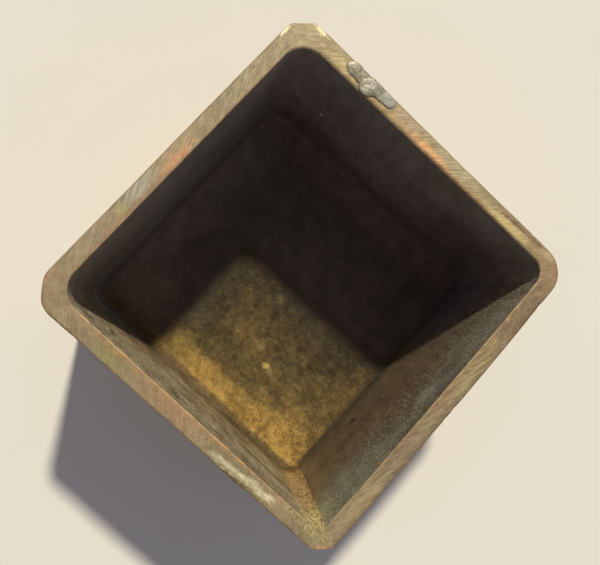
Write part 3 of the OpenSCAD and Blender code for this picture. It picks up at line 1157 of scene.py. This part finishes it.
# Inner faces: tones at the foot, the middle and the top, and how strong the marks on them are.
PLAIN_INSIDE = {"lines": [], "scratches": 0.0, "specks": 0.0, "grain": None}
INSIDE_LOOKS = {
    "front": {
        **PLAIN_INSIDE,
        "tones": (tone(114, 99, 69), tone(148, 128, 93), tone(148, 132, 101)),
        "top_from": 42.0,
        "stains": [
            ((6, -46, 34), (14, 6, 12), tone(138, 112, 80), 0.5),
            ((-12, -46, 50), (9, 6, 8), tone(168, 148, 112), 0.6),
            ((20, -46, 72), (5, 6, 6), tone(104, 94, 72), 0.7),
            ((-5, -46, 64), (4, 6, 4), tone(112, 98, 72), 0.6),
            ((20, -46, 34), (5, 6, 9), tone(112, 92, 60), 0.6),
            ((24, -46, 47.5), (5, 6, 6), tone(104, 88, 58), 0.6),
            ((17, -46, 62), (4, 6, 4), tone(106, 92, 64), 0.55),
            ((31, -46, 66), (7, 6, 8), tone(166, 150, 112), 0.6),
            ((-29.5, -46, 58.8), (1.6, 4, 5), tone(66, 58, 44), 0.75),
            ((-24, -46, 36), (8, 6, 8), tone(150, 114, 72), 0.5),
            # Painted fill light: a lighter, greyer patch over the part of the wall in the sun's shadow.
            ((-40, -46, 15), (17, 8, 26), tone(144, 138, 128), 0.85),
        ],
        "runs": 0.42,
        "bands": 0.45,
        "scratches": 0.5,
        "lines": [
            ((-12.4, -46, 42.2), (-8.6, -46, 43.9), 1, 0.6, tone(196, 182, 148), 0.7),
            ((-9.7, -46, 33.8), (-4.2, -46, 32.1), 1.1, 0.6, tone(196, 182, 148), 0.6),
            ((-1.9, -46, 59), (2.2, -46, 57.4), 1.1, 0.6, tone(222, 210, 178), 0.8),
            ((0.3, -46, 54.6), (6, -46, 57.4), 0.9, 0.6, tone(200, 186, 152), 0.7),
            ((7.1, -46, 59.8), (8.9, -46, 62.6), 1, 0.5, tone(214, 202, 168), 0.8),
            ((18.2, -46, 47.8), (20.7, -46, 51.2), 0.9, 0.5, tone(188, 172, 136), 0.7),
            ((27.4, -46, 54.8), (30, -46, 56.2), 1.1, 0.6, tone(206, 194, 158), 0.7),
        ],
        "grain": (0.4, 3.0),
        "foot_darkening": 0.35,
    },
    "right": {
        **PLAIN_INSIDE,
        "tones": (tone(108, 94, 70), tone(113, 94, 68), tone(135, 127, 104)),
        "top_from": 50.0,
        "stains": [
            # Painted fill light: a neutral, bluish patch over the part of the wall in the sun's shadow.
            ((46, 40, 16), (8, 24, 38), tone(104, 100, 104), 0.9),
            ((46, -42, 40), (6, 5, 40), tone(146, 124, 84), 0.5),
            ((46, -38, 68), (6, 16, 20), tone(144, 145, 120), 0.55),
            ((46, 30, 72), (6, 16, 6), tone(152, 140, 116), 0.5),
            ((46, -18.4, 26.6), (4, 1.6, 2.6), tone(48, 38, 28), 0.8),
            ((46, -5.9, 34.8), (4, 0.9, 1.1), tone(170, 154, 122), 0.7),
            ((46, -20, 36), (4, 22, 5), tone(92, 78, 58), 0.4),
            ((46, 0, 75), (6, 20, 3.2), tone(104, 98, 82), 0.65),
            ((46, -1, 66), (6, 4.5, 4), tone(176, 164, 138), 0.65),
            ((46, -2, 42), (6, 7, 7), tone(98, 76, 54), 0.5),
            ((46, -42, 69), (6, 3.5, 8), tone(174, 168, 126), 0.5),
            ((46, 11, 67), (6, 5, 4), tone(100, 94, 80), 0.6),
        ],
        "runs": 0.25,
        "bands": 0.12,
        "specks": 0.5,
        "grain": (0.55, 1.6),
        "foot_darkening": 0.45,
    },
    "back": {
        **PLAIN_INSIDE,
        "tones": (tone(108, 95, 97), tone(131, 113, 109), tone(126, 117, 104)),
        "top_from": 46.0,
        "stains": [
            ((34, 46, 36), (24, 6, 28), tone(84, 77, 76), 0.75),
            ((-42, 45, 50), (10, 8, 26), tone(156, 136, 128), 0.6),
            ((-30.3, 46.2, 39.3), (0.8, 4, 1.2), tone(224, 212, 200), 0.95),
        ],
        "runs": 0.25,
        "bands": 0.15,
        "lines": [
            ((-43.7, 44.6, 52.4), (-39.4, 46, 36.9), 0.75, 0.5, tone(192, 172, 160), 0.6),
            ((-6.7, 46.2, 42.3), (-3.4, 46.2, 39.2), 0.6, 0.4, tone(180, 160, 150), 0.5),
            ((9.2, 46.2, 54.3), (11, 46.2, 55.6), 0.6, 0.4, tone(180, 160, 150), 0.5),
        ],
        "foot_darkening": 0.15,
    },
    "left": {
        **PLAIN_INSIDE,
        "tones": (tone(123, 116, 114), tone(124, 118, 114), tone(133, 124, 114)),
        "top_from": 44.0,
        "stains": [
            ((-46, 36, 66), (6, 14, 16), tone(156, 144, 130), 0.6),
            ((-46, -34, 40), (6, 16, 14), tone(108, 103, 98), 0.5),
        ],
        "runs": 0.2,
        "bands": 0.12,
        "foot_darkening": 0.15,
    },
}

# Rim edges: width, strength and tone of the inner edge line, and how dark and coppery the outer edge is.
# The inner edge line is rubbed metal with painted light: a bright highlight on the front and right, which
# face the sun, and painted shade on the back.
EDGES = {
    "front": {"width": 0.36, "inner": 0.85, "tone": BURNISHED_HIGHLIGHT, "dark": 0.35, "copper": 0.3},
    "right": {"width": 0.34, "inner": 0.36, "tone": tone(198, 150, 102), "dark": 0.5, "copper": 0.2},
    "back": {"width": 0.9, "inner": 0.45, "tone": tone(112, 84, 58), "dark": 0.2, "copper": 0.2},
    "left": {"width": 0.4, "inner": 0.4, "tone": tone(150, 100, 74), "dark": 0.2, "copper": 0.25},
}

# Angle and strength of the fine file grain on each rim.
RIM_GRAIN = {"left": (1.2, 0.13), "front": (0.9, 0.16), "right": (1.9, 0.24), "back": (2.4, 0.18)}
CORNER_GRAIN = (2.4, 0.1)
# The rim's finish fades out between these depths below it.
RIM_START = 0.1
RIM_END = 0.5
# Depth of the finest relief, in metres.
FINE_RELIEF = 0.00012


def dressed_rim(coat, stains, strokes=(), flecks=(), lines=(), filed=CORNER_GRAIN):
    """Colour and relief of the filed rim; strokes are file marks: centre, reach, angle, tone, strength."""
    colour = coat.blend(coat.mottle(7.0, 6.0, 0.2), RIM_DULL, RIM_BRIGHT)
    colour = coat.stained(colour, stains)
    colour = coat.stained(colour, flecks, 1.5, 2.2)
    colour = coat.scored(colour, lines)
    colour = coat.grain(0.18, colour, coat.mottle(1.8, 5.0, 0.25))
    file_angle, file_depth = filed
    relief = coat.marks(STROKES, file_angle, 0.36, 3.4)
    colour = coat.grain(file_depth, colour, relief)
    colour = coat.grain(0.16, colour, coat.mottle(0.4, 2.0, 0.25))
    for centre, reach, angle, shade, amount in strokes:
        marks = coat.spread(coat.marks(STROKES, angle, 0.7, 7.0), 0.35, 0.95)
        shown = coat.times(coat.stain(centre, reach, 0.8), marks)
        colour = coat.tint(shown, amount, colour, shade)
        relief = coat.plus(relief, shown)
    colour = coat.tint(coat.marks(SCRATCHES, 0.5, 1.1, 7.0), 0.18, colour, PALE_BRASS)
    colour = coat.tint(coat.marks(SCRATCHES, 2.1, 1.3, 9.0), 0.2, colour, DARK_BROWN)
    return colour, relief


def patinated_inside(coat, look):
    """Colour of a wall's inner face by height, with its stains and marks, and the runs as relief."""
    foot, middle, top = look["tones"]
    height = coat.height()
    shift = coat.swing(coat.noise(0.07, 6.0, 0.66), 46)
    level = coat.plus(height, shift)
    colour = coat.blend(coat.spread(level, 12.0, 34.0), foot, middle)
    colour = coat.blend(coat.spread(level, look["top_from"], look["top_from"] + 24.0), colour, top)
    colour = coat.stained(colour, look["stains"])
    colour = coat.scored(colour, look["lines"])
    runs = coat.drawn_out(3.2, 10.0, 0.28, 0.72)
    colour = coat.grain(look["runs"], colour, runs)
    colour = coat.grain(look["bands"], colour, coat.drawn_out(34.0, 8.0, 0.3, 0.7))
    if look["scratches"]:
        zone = coat.times(coat.spread(level, 30.0, 46.0), coat.spread(level, 80.0, 64.0))
        zone = coat.times(zone, look["scratches"])
        colour = coat.tint(coat.drawn_out(7.0, 2.6, 0.54, 0.66), zone, colour, tone(176, 160, 126))
        # Painted glints: short near-white dashes among the scratches.
        colour = coat.tint(coat.drawn_out(3.0, 2.2, 0.62, 0.69), zone, colour, tone(222, 212, 184))
    if look["specks"]:
        bright = coat.times(coat.drawn_out(0.9, 2.6, 0.57, 0.68), coat.spread(level, 36.0, 60.0, 0.3, 1.0))
        colour = coat.tint(bright, look["specks"], colour, tone(178, 172, 150))
    if look["grain"]:
        strength, mark_height = look["grain"]
        strength = coat.times(coat.spread(level, 30.0, 60.0, 0.55, 1.0), strength)
        colour = coat.grain(strength, colour, coat.drawn_out(0.5, mark_height, 0.3, 0.7))
    # Darker towards the foot of the wall.
    gathered = coat.plus(height, coat.times(shift, 0.15))
    colour = coat.tint(coat.spread(gathered, 24.0, 12.0), look["foot_darkening"], colour, tone(62, 50, 34))
    return colour, runs


# Scuffs of the outer faces: angle, width and strength.
OUTSIDE_SCUFFS = ((0.4, 1.0, 0.25), (2.6, 0.8, 0.2), (1.5, 0.9, 0.15))


def satin_outside(coat):
    """Colour and grain of the outer faces: aged satin brass, freckled and scuffed, darker at the foot."""
    colour = coat.blend(coat.mottle(22.0, 4.0, 0.3), tone(142, 119, 76), tone(158, 135, 90))
    tarnish = coat.mottle(7.0, 9.0, 0.14)
    colour = coat.tint(tarnish, 0.3, colour, tone(118, 97, 64))
    satin = coat.mottle(0.7, 4.0, 0.25)
    colour = coat.grain(0.14, colour, satin)
    colour = coat.tint(coat.pits(1.1, 0.46), 0.45, colour, tone(84, 68, 46))
    upright = coat.put("ShaderNodeMapping", {"Vector": coat.place, "Rotation": (math.pi / 2, 0.0, 0.0)})
    for angle, width, amount in OUTSIDE_SCUFFS:
        scuffs = coat.marks(SCRATCHES, angle, width, 16.0, upright.outputs[0])
        colour = coat.tint(scuffs, amount, colour, PALE_BRASS)
    level = coat.plus(coat.height(), coat.swing(tarnish, 7.0))
    colour = coat.tint(coat.spread(level, 12.0, 0.0), 0.45, colour, tone(92, 75, 50))
    return colour, satin


TORN_MIDDLE = 21.0
TORN_SLOPE = 0.055
TORN_LINE = -49.5


def torn_streak(coat):
    """Masks of the torn metal along the gouge, and of its brightest crumbs, which are painted glints."""
    x, y, _ = coat.axes()
    pulled = coat.vectors("MULTIPLY", coat.place, (0.5, 1.0, 1.0))
    shift = coat.swing(coat.noise(1.1, 4.0, 0.62, pulled), 3.0)
    along = coat.minus(x, TORN_MIDDLE)
    line = coat.plus(coat.times(along, TORN_SLOPE), TORN_LINE)
    off = coat.maths("ABSOLUTE", coat.plus(coat.minus(y, line), shift))
    ends = coat.spread(coat.maths("ABSOLUTE", coat.plus(along, shift)), 12.0, 7.5)
    streak = coat.times(coat.spread(off, 1.5, 0.7), ends)
    crumbs = coat.times(coat.spread(off, 1.1, 0.4), ends)
    return streak, coat.times(crumbs, coat.mottle(1.0, 3.0, 0.14, pulled))


def dimpled_rim(coat, colour):
    """The rim by the front right corner, dimpled where the bead ran out over it, with painted glints on the
    dimple tops.
    """
    field = coat.stain((41.5, -47.3, RIM), (9.0, 1.9, RIM_SOAK), 0.6, 0.8)
    dimples = coat.mottle(0.8, 2.0, 0.2)
    colour = coat.grain(coat.times(field, 0.4), colour, dimples)
    # Painted highlight: pale glints on the tops of the dimples.
    dimple_glints = coat.times(coat.spread(dimples, 0.75, 1.0), field)
    return coat.tint(dimple_glints, 0.4, colour, tone(206, 188, 132)), coat.times(dimples, field)


def bead_colour(coat):
    """Colour and dimples of the front right bead by height."""
    height = coat.height()
    level = coat.plus(height, coat.swing(coat.mottle(3.4, 6.0, 0.2), 8))
    colour = coat.blend(coat.spread(level, 14.0, 28.0), tone(112, 88, 50), GOLDEN)
    colour = coat.blend(coat.spread(level, 12.0, 30.0), colour, tone(182, 149, 96))
    colour = coat.blend(coat.spread(level, 48.0, 68.0), colour, tone(206, 186, 126))
    dimples = coat.drawn_out(0.9, 2.2, 0.36, 0.64)
    hollows = coat.times(coat.spread(dimples, 0.42, 0.1), coat.spread(height, 30.0, 62.0, 0.08, 0.45))
    return coat.blend(hollows, coat.grain(0.42, colour, dimples), tone(84, 66, 36)), dimples


def bead_run_out(coat):
    """Mask of the bead's run-out over the front plate."""
    x, _, z = coat.axes()
    shown = coat.spread(coat.plus(x, coat.swing(coat.noise(0.5, 4.0), 5)), 38.5, 42.0)
    return coat.times(shown, coat.spread(z, 14.0, 40.0, 0.45, 1.0))


def plate_stains(side):
    """A plate's own rim stains and those of its two corners."""
    start, end = WALLS[side][:2]
    return RIM_STAINS[side] + CORNER_STAINS[start] + CORNER_STAINS[end]


def wall_finish(side):
    """Brass plate: filed rim, patina inside, aged satin outside, rubbed edges with painted highlight and
    shade.
    """
    material, coat = new_finish(side + "_wall_brass")
    edges = EDGES[side]
    rim = coat.depth_mask("below_rim", RIM_START, RIM_END)
    above_floor = coat.spread(coat.height(), FLOOR_UNDER + 1.0, FLOOR_UNDER + 3.0)
    inner = coat.times(coat.depth_mask("from_inside", 0.6, 1.6), above_floor)
    inside_colour, clouds = patinated_inside(coat, INSIDE_LOOKS[side])
    marks = RIM_STROKES[side], RIM_FLECKS[side], RIM_LINES.get(side, ())
    rim_colour, grain = dressed_rim(coat, plate_stains(side), *marks, RIM_GRAIN[side])
    if side == "front":
        streak, bright = torn_streak(coat)
        rim_colour = coat.tint(streak, 0.8, rim_colour, tone(178, 163, 120))
        # Painted glints on the brightest crumbs of the torn metal.
        rim_colour = coat.tint(bright, 0.9, rim_colour, tone(226, 216, 174))
        rim_colour, dimples = dimpled_rim(coat, rim_colour)
        grain = coat.plus(grain, coat.plus(dimples, bright))
        run_out = bead_run_out(coat)
        filler, hollows = bead_colour(coat)
        inside_colour = coat.blend(run_out, inside_colour, filler)
        clouds = coat.plus(clouds, coat.times(hollows, run_out))
    outside_colour, satin = satin_outside(coat)
    colour = coat.blend(rim, coat.blend(inner, outside_colour, inside_colour), rim_colour)
    breaks = coat.mottle(3.0, 5.0, 0.16)
    # Painted light along the inner edge: rubbed metal tinted bright where it faces the sun and dark on the
    # back.
    line = coat.edge_line("from_inside", edges["width"])
    rubbed = coat.times(line, coat.spread(breaks, 0.15, 0.85, 0.1, 1.0))
    colour = coat.tint(rubbed, edges["inner"], colour, edges["tone"])
    outer = coat.edge_line("from_outside", OUTER_EDGE)
    colour = coat.tint(outer, edges["dark"], colour, DARK_BROWN)
    glint = coat.times(outer, coat.spread(breaks, 0.5, 1.0))
    coat.give("Base Color", coat.tint(glint, edges["copper"], colour, COPPER))
    bare = coat.most(coat.most(rim, line), coat.spread(inner, 0.0, 1.0, 1.0, 0.0))
    plain_rough = coat.mix(inner, coat.spread(satin, 0.0, 1.0, 0.46, 0.36), 0.62)
    rough = coat.mix(rim, plain_rough, coat.spread(grain, 0.0, 1.2, 0.62, 0.5))
    relief = coat.mix(rim, coat.mix(inner, satin, clouds), grain)
    coat.metal_surface(bare, rough, relief, 0.25, FINE_RELIEF)
    return material


def golden_edge(coat):
    """Mask of the golden band along the front and right edges of the floor."""
    x, y, _ = coat.axes()
    shift = coat.swing(coat.noise(0.2, 7.0, 0.68), 17)
    wavering = coat.times(shift, coat.spread(x, 6.0, 26.0, 0.6, 1.0))
    depth = coat.minus(coat.plus(y, wavering), coat.spread(x, 10.0, 34.0, 0.0, 4.0))
    near_front = coat.times(coat.spread(depth, -34.0, -39.0), coat.spread(x, -28.0, -6.0))
    near_right = coat.spread(coat.plus(x, shift), 34.0, 46.0)
    return coat.most(near_front, coat.times(near_right, coat.spread(y, -20.0, -43.0)))


def floor_colour(coat):
    """Ochre and olive patina with dashes of dirt in the golden band; painted shade where the sun's shadow
    falls.
    """
    x, y, _ = coat.axes()
    golden = golden_edge(coat)
    clouds = coat.mottle(6.0, 6.0, 0.18)
    colour = coat.blend(clouds, OLIVE_FLOOR, BROWN_FLOOR)
    flecks = coat.mottle(2.2, 4.0, 0.16)
    colour = coat.tint(flecks, 0.35, colour, tone(124, 106, 60))
    # Darker towards the back and left along the sun's shadow edge: partly darker patina, partly a painted
    # widening of the penumbra.
    back_part = coat.most(coat.spread(y, -22.0, -3.0), coat.spread(x, 0.0, -13.0))
    back_part = coat.times(back_part, coat.spread(y, -36.0, -26.0))
    colour = coat.tint(back_part, 0.85, colour, tone(47, 38, 22))
    colour = coat.tint(flecks, coat.times(back_part, 0.3), colour, tone(92, 78, 49))
    colour = coat.blend(golden, colour, coat.tint(clouds, 0.8, GOLDEN_BROWN, GOLDEN))
    right_band = coat.times(coat.spread(x, 35.5, 43.0), coat.spread(y, 4.0, -10.0))
    colour = coat.tint(right_band, 0.3, colour, tone(126, 97, 52))
    colour = coat.stained(colour, FLOOR_STAINS)
    colour = coat.stained(colour, FLOOR_SPOTS, 1.5, 1.6)
    slope = coat.times(coat.minus(x, 42.0), 0.024)
    margin = coat.plus(y, coat.plus(coat.swing(clouds, 0.8), slope))
    colour = coat.blend(coat.spread(margin, -43.8, -45.4, 0.0, 0.9), colour, tone(98, 77, 44))
    long_marks = coat.vectors("MULTIPLY", coat.turned(math.pi / 4), (0.45, 1.0, 1.0))
    dashed = coat.most(coat.times(golden, coat.spread(x, 4.0, 22.0)), right_band)
    dashes = coat.times(coat.pits(0.95, 0.63, long_marks), dashed)
    colour = coat.tint(dashes, 0.62, colour, tone(72, 53, 28))
    greened = coat.spread(coat.most(golden, back_part), 0.0, 1.0, 0.3, 0.06)
    colour = coat.tint(coat.mottle(3.2, 6.0, 0.14), greened, colour, tone(84, 76, 36))
    colour = coat.tint(coat.pits(0.75, 0.36), 0.5, colour, tone(172, 150, 96))
    for size, share in ((5.0, 0.28), (1.9, 0.26)):
        colour = coat.grain(share, colour, coat.mottle(size, 3.0, 0.2))
    fine = coat.mottle(0.65, 4.0, 0.22)
    colour = coat.grain(0.3, colour, fine)
    # Painted shade: where the sun's shadow falls the floor takes its shade tone, lighter towards the left
    # wall as painted fill light.
    left_shade = coat.times(coat.spread(x, -14.0, -24.0), coat.spread(y, -44.0, -38.0))
    shade = coat.most(coat.spread(y, -3.0, 8.0), left_shade)
    dull = coat.blend(coat.spread(x, -27.0, -45.0), PAINTED_FLOOR_SHADE, tone(116, 103, 93))
    dull = coat.grain(0.25, coat.stained(dull, PAINTED_SHADE_PATCHES), clouds)
    return coat.blend(shade, colour, dull), coat.minus(fine, dashes)


def floor_finish():
    """Patina on the floor's upper face, worn satin underneath."""
    material, coat = new_finish("floor_patina")
    colour, height = floor_colour(coat)
    under = coat.spread(coat.height(), FLOOR_TOP - 1.4, FLOOR_TOP - 2.4)
    coat.give("Base Color", coat.blend(under, colour, satin_outside(coat)[0]))
    coat.dull_surface(coat.spread(height, -1.0, 1.0, 0.8, 0.62), height, 0.3, 0.0002)
    return material


def across_bead(coat, corner):
    """How far across a bead a point lies: -1 at the front or back plate, 1 at the side plate."""
    high, low = INNER_ROUND[corner]
    x, y, z = coat.axes()
    taper = (low - high) / (RIM - FLOOR_TOP)
    radius = coat.minus(low + taper * FLOOR_TOP, coat.times(z, taper))
    run = coat.minus(coat.times(x, corner[0]), coat.times(y, corner[1]))
    return coat.maths("DIVIDE", run, radius)


def braze_finish(name):
    """Filler metal in a corner, under the patina of the two plates beside it."""
    material, coat = new_finish(name + "_bead")
    corner = CORNERS[name]
    plate, side = (INSIDE_LOOKS[word] for word in name.split("_"))
    rim = coat.depth_mask("below_rim", RIM_START, RIM_END)
    plate_colour, runs = patinated_inside(coat, plate)
    side_colour = patinated_inside(coat, side)[0]
    colour = coat.blend(coat.spread(across_bead(coat, corner), -0.9, 0.9), plate_colour, side_colour)
    rim_colour, grain = dressed_rim(coat, CORNER_STAINS[corner])
    coat.give("Base Color", coat.blend(rim, colour, rim_colour))
    coat.metal_surface(rim, coat.mix(rim, 0.62, 0.55), coat.mix(rim, runs, grain), 0.25, FINE_RELIEF)
    return material


def dimpled_braze_finish():
    """The front right bead: brown at the foot, golden and dimpled above, dark at the right plate."""
    material, coat = new_finish("dimpled_bead")
    rim = coat.depth_mask("below_rim", RIM_START, 0.7)
    colour, dimples = bead_colour(coat)
    seam = coat.spread(across_bead(coat, FRONT_RIGHT), 0.65, 0.95)
    colour = coat.tint(seam, 0.75, colour, tone(54, 44, 30))
    rim_colour = coat.grain(0.45, dressed_rim(coat, CORNER_STAINS[FRONT_RIGHT])[0], dimples)
    coat.give("Base Color", coat.blend(rim, colour, rim_colour))
    coat.metal_surface(rim, coat.mix(rim, 0.6, 0.5), dimples, 0.7, 0.0003)
    return material


# How dark the joint between the floor and each wall is: a dark joint line with painted crease shade.
JOINT_DARK_AND_SHADE = {"front": 0.0, "right": 0.3, "back": 0.22, "left": 0.22}


def cove_finish(side):
    """Filler metal along the floor: the floor's tones at its lower edge, the wall's at its upper edge."""
    material, coat = new_finish(side + "_cove")
    wall_colour, clouds = patinated_inside(coat, INSIDE_LOOKS[side])
    low_colour, height = floor_colour(coat)
    level = coat.height()
    ragged = coat.plus(level, coat.swing(coat.mottle(1.0, 5.0, 0.25), 0.9))
    rise = coat.spread(ragged, FLOOR_TOP + 0.3, FLOOR_TOP + 2.6)
    corner = coat.stain((44.5, -44.5, 11.0), (4.5, 4.5, 6.0), 0.5)
    rise = coat.times(rise, coat.spread(corner, 1.0, 0.0))
    colour = coat.blend(rise, low_colour, wall_colour)
    # Dark joint line with painted crease shade where floor and wall meet.
    joint = coat.spread(level, FLOOR_TOP, FLOOR_TOP + 2.4)
    colour = coat.tint(joint, JOINT_DARK_AND_SHADE[side], colour, tone(48, 40, 34))
    under = coat.spread(level, FLOOR_UNDER + 2.0, FLOOR_UNDER + 1.0)
    coat.give("Base Color", coat.blend(under, colour, tone(112, 92, 60)))
    rough = coat.spread(clouds, 0.0, 1.0, 0.78, 0.62)
    coat.dull_surface(rough, coat.mix(rise, height, clouds), 0.5, 0.00025)
    return material


def solder_finish():
    """Dull grey solder with brown flux stain in its hollows."""
    material, coat = new_finish("grey_solder")
    clouds = coat.mottle(2.6, 4.0, 0.25)
    colour = coat.blend(clouds, tone(104, 97, 81), tone(156, 149, 129))
    colour = coat.stained(colour, FLUX_STAINS)
    coat.give("Base Color", coat.tint(coat.pits(1.3, 0.45), 0.5, colour, tone(98, 78, 54)))
    coat.give("Metallic", 0.35)
    coat.give("Roughness", coat.spread(clouds, 0.0, 1.0, 0.55, 0.38))
    coat.bump(coat.mottle(0.9, 3.0, 0.25), 0.15, 0.0002)
    return material


def build_plate(side):
    """One wall plate. Front and back run the full width of the pot; the side plates butt on them."""
    lo, hi = box_mm(side + "_wall")
    long_axis = 0 if side in ("front", "back") else 1
    if long_axis == 0:
        lo.x = OUTSIDE[0]
        hi.x = OUTSIDE[2]
    close_run = (GOUGE_FROM - 2, GOUGE_TO + 6) if side == "front" else None
    bm = wall_plate(lo, hi, long_axis, close_run)
    finish_piece(side + "_wall_dressed", bm, side + "_wall", wall_finish(side))


def build_corner(name, corner):
    bm = corner_bead(corner)
    material = dimpled_braze_finish() if corner == FRONT_RIGHT else braze_finish(name)
    if corner == FRONT_RIGHT:
        dimple_bead(bm, corner)
    gather(bm, joint_film(corner))
    finish_piece(name + "_bead", bm, name + "_corner_braze", material)


def build_pot():
    for side in WALLS:
        build_plate(side)
    finish_piece("floor_plate_pitted", floor_slab(), "floor_plate", floor_finish())
    for name, corner in CORNERS.items():
        build_corner(name, corner)
    for side, wall in WALLS.items():
        bm = floor_braze(wall)
        finish_piece(side + "_floor_cove", bm, side + "_floor_braze", cove_finish(side))
    solder = solder_blob()
    finish_piece("rim_solder_lumps", solder, "rim_solder_patch", solder_finish(), wear=False)


FLOOR_TONE = tone(229, 221, 201)
FLOOR_DRIFT = tone(233, 224, 203)
STAGE_SIZE = 3.0
FILL_TONE = (0.215, 0.228, 0.32, 1.0)
BACKDROP_TONE = tone(236, 229, 214)
SUN_WAY = Vector((-0.424, 0.707, 1.0))
SUN_TONE = (1.0, 0.985, 0.91)
SUN_STRENGTH = 3.2
SUN_ANGLE = math.radians(3.4)


def stage_floor():
    bm = bmesh.new()
    bmesh.ops.create_grid(bm, x_segments=1, y_segments=1, size=STAGE_SIZE)
    mesh = bpy.data.meshes.new("pale_floor")
    bm.to_mesh(mesh)
    bm.free()
    material, coat = new_finish("pale_floor_paint")
    coat.give("Base Color", coat.blend(coat.noise(0.02, 3.0), FLOOR_TONE, FLOOR_DRIFT))
    coat.give("Roughness", 0.9)
    coat.give("Specular IOR Level", 0.1)
    mesh.materials.append(material)
    floor = bpy.data.objects.new("pale_floor", mesh)
    bpy.context.scene.collection.objects.link(floor)


def studio_light():
    lamp = bpy.data.lights.new("key", "SUN")
    lamp.energy = SUN_STRENGTH
    lamp.angle = SUN_ANGLE
    lamp.color = SUN_TONE
    key = bpy.data.objects.new("key", lamp)
    key.rotation_euler = SUN_WAY.to_track_quat("Z", "Y").to_euler()
    bpy.context.scene.collection.objects.link(key)
    world = bpy.data.worlds.new("soft_sky")
    world.use_nodes = True
    world.node_tree.nodes.clear()
    sky = Coat(world.node_tree)
    fill = sky.put("ShaderNodeBackground", {"Color": FILL_TONE, "Strength": 1.0})
    pale = sky.put("ShaderNodeBackground", {"Color": BACKDROP_TONE, "Strength": 1.0})
    rays = sky.put("ShaderNodeLightPath").outputs
    seen = sky.most(sky.most(rays["Is Camera Ray"], rays["Is Glossy Ray"]), rays["Is Transmission Ray"])
    mixed = sky.put("ShaderNodeMixShader", {0: seen, 1: fill.outputs[0], 2: pale.outputs[0]})
    sky.put("ShaderNodeOutputWorld", {"Surface": mixed.outputs[0]})
    bpy.context.scene.world = world


CAMERA_PLACE = (-0.01814, -0.02373, 0.25962)
CAMERA_TURN = (1.526, -8.105, 42.657)
CAMERA_LENS = 42.61
SENSOR_WIDTH = 36.0


def photo_camera():
    view = bpy.data.cameras.new("photo_view")
    view.sensor_width = SENSOR_WIDTH
    view.lens = CAMERA_LENS
    view.clip_start = 0.01
    camera = bpy.data.objects.new("photo_view", view)
    camera.location = CAMERA_PLACE
    camera.rotation_euler = [math.radians(angle) for angle in CAMERA_TURN]
    bpy.context.scene.collection.objects.link(camera)
    bpy.context.scene.camera = camera


photo_camera()
stage_floor()
studio_light()
build_pot()
bpy.context.scene.view_settings.view_transform = "Standard"

bpy.context.view_layer.update()
